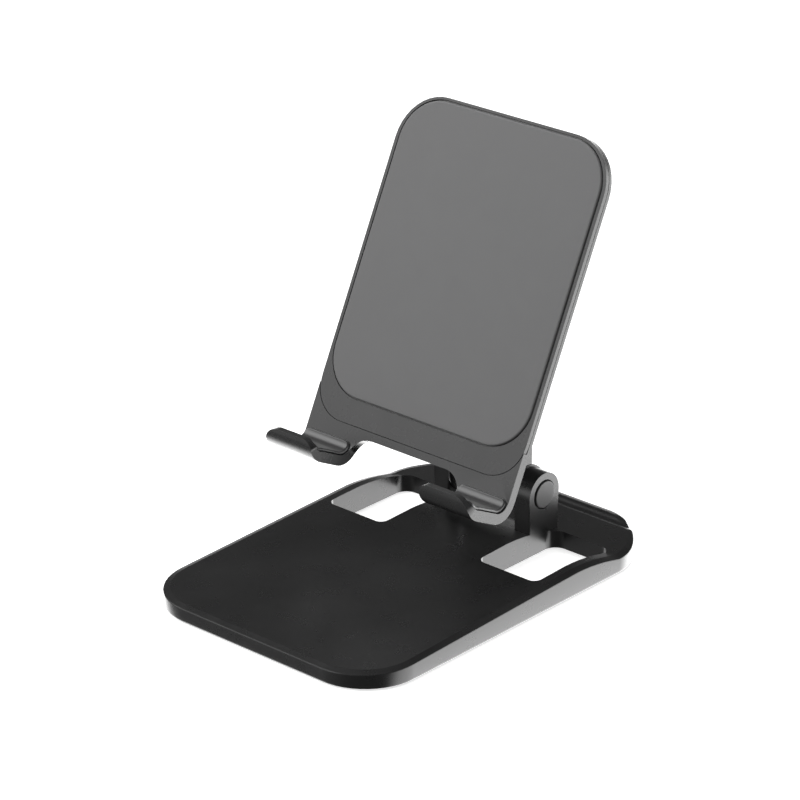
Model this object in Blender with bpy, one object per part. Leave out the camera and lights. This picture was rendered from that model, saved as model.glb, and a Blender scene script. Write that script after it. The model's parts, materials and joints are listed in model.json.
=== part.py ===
"""Folding phone stand: a weighted base with two hinge ears, an arm, and a tilting plate with two hooks.

Frame: metres, +Z up, +Y towards the rear, origin at the centre of the base's footprint on the table.
The arm and the plate are modelled in the frames of their own pivots, which are empties on the joint axes.
"""

import math

import bmesh
import bpy
from mathutils import Vector

MM = 0.001

# Base: plan and heights above the table
BASE_WIDTH = 80.0 * MM
BASE_DEPTH = 116.8 * MM
FRONT_CORNER = 16.0 * MM
REAR_CORNER_START = 37.0 * MM
REAR_ARCS = [(16.0 * MM, 32.0, 6.5), (30.0 * MM, 72.0, 2.0), (5.87 * MM, 90.0, 9.0)]
FRONT_HEIGHT = 4.8 * MM
CREST_HEIGHT = 7.3 * MM
DECK_HEIGHT = 5.0 * MM
CREST_Y = 19.6 * MM
DECK_Y = 36.6 * MM
FALL_POWER = 2.0
GROOVE_START = 51.3 * MM
GROOVE_END = 56.0 * MM
GROOVE_DEPTH = 0.8 * MM
LIP_FALL = 0.5 * MM
LIP_FALL_POWER = 1.5
SHELL_BOTTOM = 0.2 * MM
FOOT = [(0.9 * MM, 0.0), (0.3 * MM, 0.3 * MM), (0.0, 0.9 * MM)]
RIM = [
    (0.0, 0.3 * MM, 0.5 * MM),
    (0.09 * MM, 0.09 * MM, 0.5 * MM),
    (0.3 * MM, 0.0, 0.5 * MM),
    (1.5 * MM, 0.0, 0.15 * MM),
    (1.75 * MM, 0.0, 0.04 * MM),
    (2.0 * MM, 0.0, 0.0),
]
CHAMFER_FADE_START = 40.0 * MM
CHAMFER_FADE_END = 52.0 * MM

# Windows in the base, which the hooks drop through when the stand is folded
WINDOW_INNER = 16.5 * MM
WINDOW_OUTER = 35.9 * MM
WINDOW_FRONT = 8.1 * MM
WINDOW_REAR = 38.9 * MM
WINDOW_FRONT_CORNER = 2.3 * MM
WINDOW_REAR_CORNER = 3.6 * MM

# Weight and mat under the base
MAT_INSET = 2.0 * MM
MAT_WINDOW_BORDER = 1.6 * MM
MAT_THICKNESS = 0.7 * MM
MAT_RECESS_TOP = 1.0 * MM
WEIGHT_HALF_WIDTH = 36.2 * MM
WEIGHT_FRONT_INSET = 3.8 * MM
WEIGHT_REAR = 4.3 * MM
WEIGHT_CORNER = 12.0 * MM
WEIGHT_REAR_CORNER = 3.0 * MM
WEIGHT_THICKNESS = 2.0 * MM

# Hinges
HINGE_Y = 34.5 * MM
HINGE_HEIGHT = 16.4 * MM
KNUCKLE_RADIUS = 5.9 * MM
EAR_INNER = 11.3 * MM
EAR_OUTER = WINDOW_INNER
EAR_ROOT = 2.2 * MM
EAR_EDGE = 0.6 * MM
BORE_RADIUS = 1.8 * MM
SHANK_RADIUS = 1.5 * MM
HEAD_POCKET_RADIUS = 3.4 * MM
LOWER_POCKET_DEPTH = 1.95 * MM
UPPER_POCKET_DEPTH = 2.5 * MM
CAP_POCKET_RADIUS = 4.05 * MM
CAP_RADIUS = 3.8 * MM
CAP_POCKET_DEPTH = 1.25 * MM
CAP_THICKNESS = 0.95 * MM
CAP_PROUD = 0.4 * MM
CAP_CHAMFER = 0.25 * MM
HEAD_RADIUS = 3.0 * MM
HEAD_CHAMFER = 0.3 * MM
SOCKET_RADIUS = 1.2 * MM
SOCKET_DEPTH = 0.8 * MM
NUT_RADIUS = 3.1 * MM
LOWER_NUT_THICKNESS = 1.6 * MM
UPPER_NUT_THICKNESS = 1.5 * MM
BUSH_RADIUS = 5.0 * MM
BUSH_CHAMFER = 0.3 * MM
WASHER_RADIUS = 6.5 * MM
WASHER_THICKNESS = 0.5 * MM
UPPER_WASHER_RADIUS = 4.5 * MM
SPRING_SHEET = 0.35 * MM
SPRING_HEIGHT = 0.9 * MM
LOWER_SPRING_RADIUS = 4.6 * MM
UPPER_SPRING_RADIUS = 2.9 * MM
UPPER_SPRING_HEIGHT = 0.6 * MM

# Arm
ARM_LENGTH = 67.6 * MM
ARM_HALF_WIDTH = 7.3 * MM
ARM_EDGE = 0.8 * MM
ARM_FRONT_WALL = 2.5 * MM
COVER_HALF_WIDTH = 5.3 * MM
COVER_LOW = 8.7 * MM
COVER_HIGH = 58.9 * MM
COVER_THICKNESS = 1.2 * MM
COVER_CORNER = 1.2 * MM
HOLLOW_LEDGE = 0.8 * MM
HOLLOW_CORNER = 1.0 * MM
STIFFENER_HALF_WIDTH = 3.5 * MM
STIFFENER_THICKNESS = 1.5 * MM
ARM_SCREW_MARGIN = 2.2 * MM
ARM_SCREW_LENGTH = 4.2 * MM

# Plate and hooks, in the plate's own frame: origin on the upper axis, +Z up along the plate
TILT = 26.05
FACE_Y = -9.3 * MM
PLATE_THICKNESS = 2.5 * MM
PLATE_HALF_WIDTH = 34.6 * MM
PLATE_TOP = 29.9 * MM
PLATE_CORNER = 13.2 * MM
MID_BOTTOM = -60.0 * MM
SEAM = -57.9 * MM
SEAM_CORNER = 10.0 * MM
FRONT_PLATE_THICKNESS = 1.25 * MM
FRONT_POCKET_DEPTH = 1.4 * MM
RECESS_GROW = 0.25 * MM
PAD_HALF_WIDTH = 33.3 * MM
PAD_BOTTOM = -51.0 * MM
PAD_TOP = 28.9 * MM
PAD_CORNER = 12.0 * MM
PAD_PROUD = 0.35 * MM
PAD_THICKNESS = 0.65 * MM
PAD_POCKET_DEPTH = 0.6 * MM
HOOK_INNER = 18.3 * MM
HOOK_BEND_Z = -62.6 * MM
HOOK_BEND_RADIUS = 6.0 * MM
SHELF_LENGTH = 7.0 * MM
SHELF_THICKNESS = 2.8 * MM
LIP_ANGLE = 67.0
LIP_LENGTH = 1.1 * MM
LIP_THICKNESS = 1.85 * MM
LIP_INNER_CORNER = 3.0 * MM
LIP_OUTER_CORNER = 4.8 * MM
CABLE_FILLET = 5.5 * MM
LINING_TOP = -61.95 * MM
LINING_SIDE_INSET = 0.5 * MM
LINING_END_INSET = 1.2 * MM
LINING_THICKNESS = 0.7 * MM
LINING_GAP = 0.15 * MM
LINING_START_CORNER = 1.5 * MM
LINING_END_CORNER = 2.0 * MM

# Tilt bracket behind the plate
FLANGE_GAP = 0.3 * MM
FLANGE_THICKNESS = 1.6 * MM
FLANGE_HALF_WIDTH = 20.0 * MM
FLANGE_LOW = -7.0 * MM
FLANGE_HIGH = 13.0 * MM
FLANGE_CORNER = 2.5 * MM
NOTCH_HALF_WIDTH = 8.1 * MM
NOTCH_TOP = 7.5 * MM
NOTCH_CORNER = 2.0 * MM
LUG_INNER = 8.6 * MM
LUG_OUTER = 14.2 * MM
LUG_OVERLAP = 0.3 * MM
BRACKET_SCREW_X = 17.0 * MM
BRACKET_SCREW_HEIGHTS = (-4.0 * MM, 10.0 * MM)
BRACKET_SCREWS = [(x, z) for z in BRACKET_SCREW_HEIGHTS for x in (-BRACKET_SCREW_X, BRACKET_SCREW_X)]
BRACKET_SCREW_LENGTH = 3.0 * MM

# Small screws and general fits
SCREW_SHANK = 0.85 * MM
SCREW_HEAD = 1.7 * MM
SCREW_HEAD_THICKNESS = 0.65 * MM
SCREW_HEAD_CHAMFER = 0.2 * MM
SCREW_SIDES = 20
SCREW_HOLE = 1.1 * MM
FIT = 0.3 * MM
CLOSE_FIT = 0.15 * MM
CUTTER_REACH = 10.0 * MM
ROUND_STEPS = 32
ARC_STEP = 9.0
KNUCKLE_STEP = 6.0
EDGE_SEGMENTS = 3


# ---------------------------------------------------------------- outlines


def arc(centre, radius, start, end, step=ARC_STEP):
    """Points of an arc from start to end, both in degrees, counter-clockwise if end is greater."""
    count = max(2, math.ceil(abs(end - start) / step))
    angles = [math.radians(start + (end - start) * i / count) for i in range(count + 1)]
    return [(centre[0] + radius * math.cos(a), centre[1] + radius * math.sin(a)) for a in angles]


def rounded(corners, step=ARC_STEP):
    """An outline from (x, y, radius) corners, with an arc at each corner whose radius isn't zero."""
    points = []
    for i, (x, y, radius) in enumerate(corners):
        here = Vector((x, y))
        if radius == 0:
            points.append((x, y))
            continue
        before = (Vector(corners[i - 1][:2]) - here).normalized()
        after = (Vector(corners[(i + 1) % len(corners)][:2]) - here).normalized()
        half = before.angle(after) / 2
        centre = here + (before + after).normalized() * (radius / math.sin(half))
        start = here + before * (radius / math.tan(half)) - centre
        end = here + after * (radius / math.tan(half)) - centre
        first = math.degrees(math.atan2(start.y, start.x))
        turn = (math.degrees(math.atan2(end.y, end.x)) - first + 180) % 360 - 180
        points += arc(centre, radius, first, first + turn, step)
    return points


def rectangle(half_width, low, high, radius, top_radius=None):
    """A rounded rectangle centred on x = 0, from low to high."""
    top_radius = radius if top_radius is None else top_radius
    return rounded([
        (-half_width, low, radius),
        (half_width, low, radius),
        (half_width, high, top_radius),
        (-half_width, high, top_radius),
    ])


# ---------------------------------------------------------------- solids


def make_object(name, bm):
    """An object from a bmesh, with its faces turned outwards."""
    bmesh.ops.recalc_face_normals(bm, faces=bm.faces)
    if bm.calc_volume(signed=True) < 0:
        bmesh.ops.reverse_faces(bm, faces=bm.faces)
    mesh = bpy.data.meshes.new(name)
    bm.to_mesh(mesh)
    bm.free()
    made = bpy.data.objects.new(name, mesh)
    bpy.context.scene.collection.objects.link(made)
    return made


def along(axis, a, b, c):
    """A point with c along the axis and (a, b) in the two other axes, in X, Y, Z order."""
    return {"X": (c, a, b), "Y": (a, c, b), "Z": (a, b, c)}[axis]


def prism(name, outline, low, high, axis="Z", edge=0.0):
    """The outline extruded along an axis from low to high, with its end edges rounded by edge."""
    bm = bmesh.new()
    ends = [[bm.verts.new(along(axis, a, b, c)) for a, b in outline] for c in (low, high)]
    bm.faces.new(ends[0])
    bm.faces.new(ends[1])
    for i in range(len(outline)):
        j = (i + 1) % len(outline)
        bm.faces.new((ends[0][i], ends[0][j], ends[1][j], ends[1][i]))
    if edge:
        first = set(ends[0])
        rims = [e for e in bm.edges if (e.verts[0] in first) == (e.verts[1] in first)]
        bmesh.ops.bevel(bm, geom=rims, offset=edge, segments=EDGE_SEGMENTS, profile=0.5, affect="EDGES")
    return make_object(name, bm)


def turned(name, profile, hollow=False, sides=ROUND_STEPS):
    """A shape turned about the X axis from (x, radius) points: closed if hollow, or capped at both ends."""
    bm = bmesh.new()
    rings = []
    for x, radius in profile:
        angles = [2 * math.pi * i / sides for i in range(sides)]
        rings.append([bm.verts.new((x, radius * math.cos(a), radius * math.sin(a))) for a in angles])
    pairs = list(zip(rings, rings[1:] + rings[:1])) if hollow else list(zip(rings, rings[1:]))
    for first, second in pairs:
        for i in range(sides):
            j = (i + 1) % sides
            bm.faces.new((first[i], first[j], second[j], second[i]))
    if not hollow:
        bm.faces.new(rings[0])
        bm.faces.new(rings[-1])
    return make_object(name, bm)


def combine(target, tool, operation="DIFFERENCE"):
    """Cuts the tool from the target, or joins it on, and removes the tool."""
    boolean = target.modifiers.new("Combine", "BOOLEAN")
    boolean.operation = operation
    boolean.solver = "EXACT"
    boolean.object = tool
    bpy.context.view_layer.update()
    depsgraph = bpy.context.evaluated_depsgraph_get()
    result = bpy.data.meshes.new_from_object(target.evaluated_get(depsgraph))
    target.modifiers.clear()
    target.data = result
    bpy.data.objects.remove(tool)
    return target


def material(name, colour, roughness, metallic=0.0):
    """A Principled material, made once for each name."""
    found = bpy.data.materials.get(name)
    if found:
        return found
    made = bpy.data.materials.new(name)
    made.use_nodes = True
    shader = made.node_tree.nodes["Principled BSDF"]
    shader.inputs["Base Color"].default_value = (*colour, 1.0)
    shader.inputs["Roughness"].default_value = roughness
    shader.inputs["Metallic"].default_value = metallic
    return made


MATERIALS = {
    "base_plastic": ((0.018, 0.018, 0.019), 0.38, 0.0),
    "plate_plastic": ((0.055, 0.056, 0.058), 0.42, 0.0),
    "pad_silicone": ((0.095, 0.096, 0.098), 0.62, 0.0),
    "lining_silicone": ((0.022, 0.022, 0.023), 0.35, 0.0),
    "mat_rubber": ((0.02, 0.02, 0.02), 0.8, 0.0),
    "steel": ((0.55, 0.55, 0.56), 0.3, 1.0),
    "weight_steel": ((0.4, 0.4, 0.41), 0.45, 1.0),
    "washer_nylon": ((0.06, 0.06, 0.06), 0.5, 0.0),
}


def finish(made, finish_name, parent=None, location=(0, 0, 0)):
    """Gives an object its material, smooth shading, place and parent."""
    made.data.materials.clear()
    made.data.materials.append(material(finish_name, *MATERIALS[finish_name]))
    made.data.shade_smooth()
    made.data.set_sharp_from_angle(angle=math.radians(30))
    made.location = location
    made.parent = parent
    return made


def pivot(name, location, tilt=0.0, parent=None):
    """An empty on a joint's axis, leaning back by tilt degrees about X."""
    empty = bpy.data.objects.new(name, None)
    bpy.context.scene.collection.objects.link(empty)
    empty.location = location
    empty.rotation_euler = (math.radians(-tilt), 0, 0)
    empty.parent = parent
    return empty


# ---------------------------------------------------------------- base


def top_height(y):
    """The height of the base's top: a rising wedge, a rounded fall, a flat deck, a groove and a rear lip."""
    front, rear = -BASE_DEPTH / 2, BASE_DEPTH / 2
    if y <= CREST_Y:
        return FRONT_HEIGHT + (CREST_HEIGHT - FRONT_HEIGHT) * (y - front) / (CREST_Y - front)
    if y < DECK_Y:
        fall = ((y - CREST_Y) / (DECK_Y - CREST_Y)) ** FALL_POWER
        return CREST_HEIGHT - (CREST_HEIGHT - DECK_HEIGHT) * fall
    if GROOVE_START < y < GROOVE_END:
        turn = 2 * math.pi * (y - GROOVE_START) / (GROOVE_END - GROOVE_START)
        return DECK_HEIGHT - GROOVE_DEPTH * (1 - math.cos(turn)) / 2
    if y >= GROOVE_END:
        fall = min(1.0, (y - GROOVE_END) / (rear - GROOVE_END))
        return DECK_HEIGHT - LIP_FALL * fall ** LIP_FALL_POWER
    return DECK_HEIGHT


def chamfer_share(y):
    """How much of the rim's chamfer is left: all of it at the front and sides, none along the rear edge."""
    share = (CHAMFER_FADE_END - y) / (CHAMFER_FADE_END - CHAMFER_FADE_START)
    return min(1.0, max(0.0, share))


def base_half_outline():
    """The right half of the base's plan, from the front edge to the rear edge."""
    half, end = BASE_WIDTH / 2, BASE_DEPTH / 2
    points = arc((half - FRONT_CORNER, FRONT_CORNER - end), FRONT_CORNER, -90, 0, 7.5)
    falls = 6
    points += [(half, CREST_Y + (REAR_CORNER_START - CREST_Y) * i / falls) for i in range(falls)]
    here, angle = (half, REAR_CORNER_START), 0.0
    for radius, next_angle, step in REAR_ARCS:
        turned_by = math.radians(angle)
        centre = (here[0] - radius * math.cos(turned_by), here[1] - radius * math.sin(turned_by))
        bend = arc(centre, radius, angle, next_angle, step)
        points += bend[:-1]
        here, angle = bend[-1], next_angle
    return points + [(here[0], end)]


def inset_half(points, inset):
    """The half outline moved inwards along its normals."""
    moved = []
    for i, (x, y) in enumerate(points):
        before = Vector(points[i - 1]) if i else Vector((0, y))
        after = Vector(points[i + 1]) if i + 1 < len(points) else Vector((0, y))
        run = after - before if 0 < i < len(points) - 1 else Vector((1 if i == 0 else -1, 0))
        run.normalize()
        moved.append((x - run.y * inset, y + run.x * inset))
    return moved


def mirrored(points):
    """The whole outline from its right half."""
    return points + [(-x, y) for x, y in reversed(points)]


def base_block():
    """The base as one solid block: a rounded foot, walls, a rim, and a top ruled across the width."""
    half = base_half_outline()
    bm = bmesh.new()
    rings = []
    for inset, rise in FOOT:
        points = mirrored(inset_half(half, inset))
        rings.append([bm.verts.new((x, y, SHELL_BOTTOM + rise)) for x, y in points])
    for inset, fillet, chamfer in RIM:
        points = mirrored(inset_half(half, inset))
        heights = [top_height(y) - fillet - chamfer * chamfer_share(y) for _, y in points]
        rings.append([bm.verts.new((x, y, z)) for (x, y), z in zip(points, heights)])
    count = len(rings[0])
    for lower, upper in zip(rings, rings[1:]):
        for i in range(count):
            j = (i + 1) % count
            bm.faces.new((lower[i], lower[j], upper[j], upper[i]))
    bm.faces.new(rings[0])
    top = rings[-1]
    for i in range(len(half) - 1):
        bm.faces.new((top[i], top[i + 1], top[count - 2 - i], top[count - 1 - i]))
    return make_object("base_shell", bm)


def window_outline(side, grow=0.0):
    """A window's plan on one side (1 right, -1 left), grown by some border."""
    inner, outer = side * (WINDOW_INNER - grow), side * (WINDOW_OUTER + grow)
    low, high = WINDOW_FRONT - grow, WINDOW_REAR + grow
    front_corner, rear_corner = WINDOW_FRONT_CORNER + grow, WINDOW_REAR_CORNER + grow
    return rounded([
        (inner, low, front_corner),
        (outer, low, front_corner),
        (outer, high, rear_corner),
        (inner, high, rear_corner),
    ])


def ear_outline():
    """An ear's side view: a post with a round top about the hinge's axis."""
    root = [(HINGE_Y - KNUCKLE_RADIUS, EAR_ROOT), (HINGE_Y + KNUCKLE_RADIUS, EAR_ROOT)]
    return root + arc((HINGE_Y, HINGE_HEIGHT), KNUCKLE_RADIUS, 0, 180, KNUCKLE_STEP)


def stepped_bore(outer):
    """A cutter about the X axis: a bore, with pockets for the head or nut and for the cap at both ends."""
    cap = outer - CAP_POCKET_DEPTH
    head = outer - CAP_POCKET_DEPTH - pocket_depth(outer)
    right = [
        (head, BORE_RADIUS),
        (head, HEAD_POCKET_RADIUS),
        (cap, HEAD_POCKET_RADIUS),
        (cap, CAP_POCKET_RADIUS),
        (outer + CUTTER_REACH, CAP_POCKET_RADIUS),
    ]
    left = [(-x, radius) for x, radius in reversed(right)]
    return turned("bore_cutter", left + right)


def pocket_depth(outer):
    """The depth of the pocket for a head or a nut: the upper lugs also hold a disc spring in it."""
    return UPPER_POCKET_DEPTH if outer == LUG_OUTER else LOWER_POCKET_DEPTH


def mat_block(name, low, high, gap):
    """The mat's plan as a solid: the base's plan with a border, and openings around the two windows."""
    outline = mirrored(inset_half(base_half_outline(), MAT_INSET + gap))
    made = prism(name, outline, low, high)
    for side in (-1, 1):
        opening = window_outline(side, MAT_WINDOW_BORDER + gap)
        combine(made, prism("opening_cutter", opening, low - CUTTER_REACH, high + CUTTER_REACH))
    return made


def weight_outline(gap=0.0):
    """The steel weight's plan, grown by gap for its cavity."""
    half_width = WEIGHT_HALF_WIDTH + gap
    low = WEIGHT_FRONT_INSET - BASE_DEPTH / 2 - gap
    return rectangle(half_width, low, WEIGHT_REAR + gap, WEIGHT_CORNER + gap, WEIGHT_REAR_CORNER)


def build_base():
    """The base shell with its ears, the steel weight bonded into it, and the anti-slip mat under it."""
    shell = base_block()
    for side in (-1, 1):
        ends = sorted((side * EAR_INNER, side * EAR_OUTER))
        combine(shell, prism("ear", ear_outline(), *ends, axis="X", edge=EAR_EDGE), "UNION")
    for side in (-1, 1):
        combine(shell, prism("window_cutter", window_outline(side), -CUTTER_REACH, CUTTER_REACH))
    combine(shell, mat_block("mat_cutter", -CUTTER_REACH, MAT_RECESS_TOP, 0.0))
    cavity_top = MAT_RECESS_TOP + WEIGHT_THICKNESS + FIT
    combine(shell, prism("weight_cutter", weight_outline(FIT), -CUTTER_REACH, cavity_top))
    bore = stepped_bore(EAR_OUTER)
    bore.location = (0, HINGE_Y, HINGE_HEIGHT)
    combine(shell, bore)
    finish(shell, "base_plastic")
    weight = prism("base_weight", weight_outline(), MAT_RECESS_TOP, MAT_RECESS_TOP + WEIGHT_THICKNESS)
    finish(weight, "weight_steel")
    finish(mat_block("base_mat", 0.0, MAT_THICKNESS, FIT), "mat_rubber")


# ---------------------------------------------------------------- hinge hardware


def hinge_bolt(name, outer):
    """A bolt along X with its head in the right pocket and its end in the left one."""
    head_start = outer - CAP_POCKET_DEPTH - pocket_depth(outer) + CLOSE_FIT
    head_end = outer - CAP_POCKET_DEPTH - CLOSE_FIT
    profile = [
        (-head_end, SHANK_RADIUS),
        (head_start, SHANK_RADIUS),
        (head_start, HEAD_RADIUS),
        (head_end - HEAD_CHAMFER, HEAD_RADIUS),
        (head_end, HEAD_RADIUS - HEAD_CHAMFER),
        (head_end, SOCKET_RADIUS),
        (head_end - SOCKET_DEPTH, SOCKET_RADIUS),
    ]
    return turned(name, profile)


def hinge_nut(name, outer, thickness):
    """A hexagonal nut in the left pocket."""
    end = -(outer - CAP_POCKET_DEPTH - CLOSE_FIT)
    hexagon = arc((0, 0), NUT_RADIUS, 0, 300, 60)  # six corners, 60 degrees apart
    nut = prism(name, hexagon, end, end + thickness, axis="X")
    return combine(nut, turned("thread_cutter", [(-CUTTER_REACH * 2, BORE_RADIUS), (0.0, BORE_RADIUS)]))


def ring(name, low, high, radius, chamfer=0.0):
    """A washer or bush along X around the shank."""
    profile = [
        (low, BORE_RADIUS),
        (low, radius - chamfer),
        (low + chamfer, radius),
        (high - chamfer, radius),
        (high, radius - chamfer),
        (high, BORE_RADIUS),
    ]
    if not chamfer:
        profile = [profile[0], (low, radius), (high, radius), profile[-1]]
    return turned(name, profile, hollow=True)


def disc_spring(name, low, high, radius):
    """A conical disc spring along X, which keeps the hinge's friction."""
    profile = [
        (low, BORE_RADIUS),
        (high - SPRING_SHEET, radius),
        (high, radius),
        (low + SPRING_SHEET, BORE_RADIUS),
    ]
    return turned(name, profile, hollow=True)


def hinge_cap(name, side, outer):
    """A push-in cap that stands slightly proud of the outer face."""
    face = outer + CAP_PROUD
    profile = [
        (outer - CAP_THICKNESS, CAP_RADIUS),
        (face - CAP_CHAMFER, CAP_RADIUS),
        (face, CAP_RADIUS - CAP_CHAMFER),
    ]
    return turned(name, [(side * x, radius) for x, radius in profile])


def build_lower_hinge():
    """Bolt, nut, bushes, washers, disc spring and caps of the hinge between the base and the arm."""
    place = {"location": (0, HINGE_Y, HINGE_HEIGHT)}
    finish(hinge_bolt("lower_bolt", EAR_OUTER), "steel", **place)
    finish(hinge_nut("lower_nut", EAR_OUTER, LOWER_NUT_THICKNESS), "steel", **place)
    bush_low = ARM_HALF_WIDTH + FIT
    washer_high = EAR_INNER - FIT
    washer_low = washer_high - WASHER_THICKNESS
    bush_high = washer_low - CLOSE_FIT
    spring_low = bush_high - SPRING_HEIGHT
    for side, name in ((-1, "lower_washer_left"), (1, "lower_washer_right")):
        ends = sorted((side * washer_low, side * washer_high))
        finish(ring(name, *ends, WASHER_RADIUS), "washer_nylon", **place)
    bush_right = ring("lower_bush_right", bush_low, bush_high, BUSH_RADIUS, BUSH_CHAMFER)
    bush_left = ring("lower_bush_left", CLOSE_FIT - spring_low, -bush_low, BUSH_RADIUS, BUSH_CHAMFER)
    finish(bush_right, "steel", **place)
    finish(bush_left, "steel", **place)
    spring = disc_spring("lower_disc_spring", -bush_high, -spring_low, LOWER_SPRING_RADIUS)
    finish(spring, "steel", **place)
    for side, name in ((-1, "lower_cap_left"), (1, "lower_cap_right")):
        finish(hinge_cap(name, side, EAR_OUTER), "base_plastic", **place)


def build_upper_hinge(parent):
    """Bolt, nut, washers, disc spring and caps of the hinge between the arm and the plate."""
    finish(hinge_bolt("upper_bolt", LUG_OUTER), "steel", parent)
    finish(hinge_nut("upper_nut", LUG_OUTER, UPPER_NUT_THICKNESS), "steel", parent)
    low, high = ARM_HALF_WIDTH + FIT, LUG_INNER - FIT
    finish(ring("upper_washer_right", low, high, UPPER_WASHER_RADIUS), "washer_nylon", parent)
    finish(ring("upper_washer_left", -high, -low, UPPER_WASHER_RADIUS), "washer_nylon", parent)
    floor = LUG_OUTER - CAP_POCKET_DEPTH - pocket_depth(LUG_OUTER)
    spring_end = -(floor + CLOSE_FIT)
    spring_start = spring_end - UPPER_SPRING_HEIGHT
    spring = disc_spring("upper_disc_spring", spring_start, spring_end, UPPER_SPRING_RADIUS)
    finish(spring, "steel", parent)
    for side, name in ((-1, "upper_cap_left"), (1, "upper_cap_right")):
        finish(hinge_cap(name, side, LUG_OUTER), "plate_plastic", parent)


# ---------------------------------------------------------------- arm


def small_screw(name, length, location, parent):
    """A small pan-head screw whose head points along +Y from its location."""
    profile = [
        (-length, SCREW_SHANK),
        (0.0, SCREW_SHANK),
        (0.0, SCREW_HEAD),
        (SCREW_HEAD_THICKNESS - SCREW_HEAD_CHAMFER, SCREW_HEAD),
        (SCREW_HEAD_THICKNESS, SCREW_HEAD - SCREW_HEAD_CHAMFER),
    ]
    screw = finish(turned(name, profile, sides=SCREW_SIDES), "steel", parent, location)
    screw.rotation_euler = (0, 0, math.radians(90))


def y_cylinder(name, radius, low, high, x, z):
    """A round cutter along Y."""
    step = 360 / SCREW_SIDES
    return prism(name, arc((x, z), radius, 0, 360 - step, step), low, high, axis="Y")


def arm_screw_heights():
    """Heights of the two cover screws above the lower axis."""
    return COVER_LOW + ARM_SCREW_MARGIN, COVER_HIGH - ARM_SCREW_MARGIN


def build_arm(parent):
    """The arm with its hollow, the steel strip that stiffens it, its rear cover and two screws."""
    lower_end = arc((0, 0), KNUCKLE_RADIUS, 180, 360, KNUCKLE_STEP)
    outline = lower_end + arc((0, ARM_LENGTH), KNUCKLE_RADIUS, 0, 180, KNUCKLE_STEP)
    arm = prism("arm_shell", outline, -ARM_HALF_WIDTH, ARM_HALF_WIDTH, axis="X", edge=ARM_EDGE)
    ledge_y = KNUCKLE_RADIUS - COVER_THICKNESS
    seat = rectangle(COVER_HALF_WIDTH + FIT, COVER_LOW - FIT, COVER_HIGH + FIT, COVER_CORNER + FIT)
    combine(arm, prism("seat_cutter", seat, ledge_y - CLOSE_FIT, CUTTER_REACH, axis="Y"))
    hollow_low, hollow_high = COVER_LOW + 2 * ARM_SCREW_MARGIN, COVER_HIGH - 2 * ARM_SCREW_MARGIN
    hollow = rectangle(COVER_HALF_WIDTH - HOLLOW_LEDGE, hollow_low, hollow_high, HOLLOW_CORNER)
    hollow_floor = ARM_FRONT_WALL - KNUCKLE_RADIUS
    combine(arm, prism("hollow_cutter", hollow, hollow_floor, CUTTER_REACH, axis="Y"))
    for height in (0.0, ARM_LENGTH):
        bore = turned("bore_cutter", [(-CUTTER_REACH, BORE_RADIUS), (CUTTER_REACH, BORE_RADIUS)])
        bore.location = (0, 0, height)
        combine(arm, bore)
    cover_outline = rectangle(COVER_HALF_WIDTH, COVER_LOW, COVER_HIGH, COVER_CORNER)
    cover = prism("arm_cover", cover_outline, ledge_y, KNUCKLE_RADIUS, axis="Y")
    head_floor = KNUCKLE_RADIUS - SCREW_HEAD_THICKNESS
    for name, z in zip(("arm_screw_lower", "arm_screw_upper"), arm_screw_heights()):
        combine(cover, y_cylinder("hole_cutter", SCREW_HOLE, 0.0, CUTTER_REACH, 0.0, z))
        counterbore = ("head_cutter", SCREW_HEAD + FIT, head_floor - CLOSE_FIT, CUTTER_REACH, 0.0, z)
        combine(cover, y_cylinder(*counterbore))
        combine(arm, y_cylinder("hole_cutter", SCREW_HOLE, 0.0, CUTTER_REACH, 0.0, z))
        small_screw(name, ARM_SCREW_LENGTH, (0, head_floor, z), parent)
    finish(arm, "base_plastic", parent)
    finish(cover, "base_plastic", parent)
    strip = rectangle(STIFFENER_HALF_WIDTH, hollow_low + MM, hollow_high - MM, HOLLOW_CORNER)
    strip_front = hollow_floor + FIT
    strip_back = strip_front + STIFFENER_THICKNESS
    finish(prism("arm_stiffener", strip, strip_front, strip_back, axis="Y"), "weight_steel", parent)


# ---------------------------------------------------------------- plate


def hook_stations():
    """The outer surface's run from the plate's top to the lip.

    Each station is (distance, forward, height, heading, thickness). Forward is measured from the plate's
    front face, and the heading is in degrees, -90 pointing down.
    """
    forward, height, heading = -PLATE_THICKNESS, PLATE_TOP, -90.0
    stations = [(0.0, forward, height, heading, PLATE_THICKNESS)]
    moves = [
        (PLATE_TOP - HOOK_BEND_Z, 0.0, 1, PLATE_THICKNESS),
        (HOOK_BEND_RADIUS * math.pi / 2, 90.0, 10, SHELF_THICKNESS),
        (SHELF_LENGTH, 0.0, 1, SHELF_THICKNESS),
        (HOOK_BEND_RADIUS * math.radians(LIP_ANGLE), LIP_ANGLE, 8, LIP_THICKNESS),
        (LIP_LENGTH, 0.0, 1, LIP_THICKNESS),
    ]
    for length, turn, steps, end_thickness in moves:
        start_thickness = stations[-1][4]
        for i in range(1, steps + 1):
            middle = math.radians(heading + turn / steps / 2)
            step = length / steps
            if turn:
                half_turn = math.radians(turn / steps / 2)
                step *= math.sin(half_turn) / half_turn
            forward += step * math.cos(middle)
            height += step * math.sin(middle)
            heading += turn / steps
            thickness = start_thickness + (end_thickness - start_thickness) * i / steps
            distance = stations[-1][0] + length / steps
            stations.append((distance, forward, height, heading, thickness))
    return stations


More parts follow.
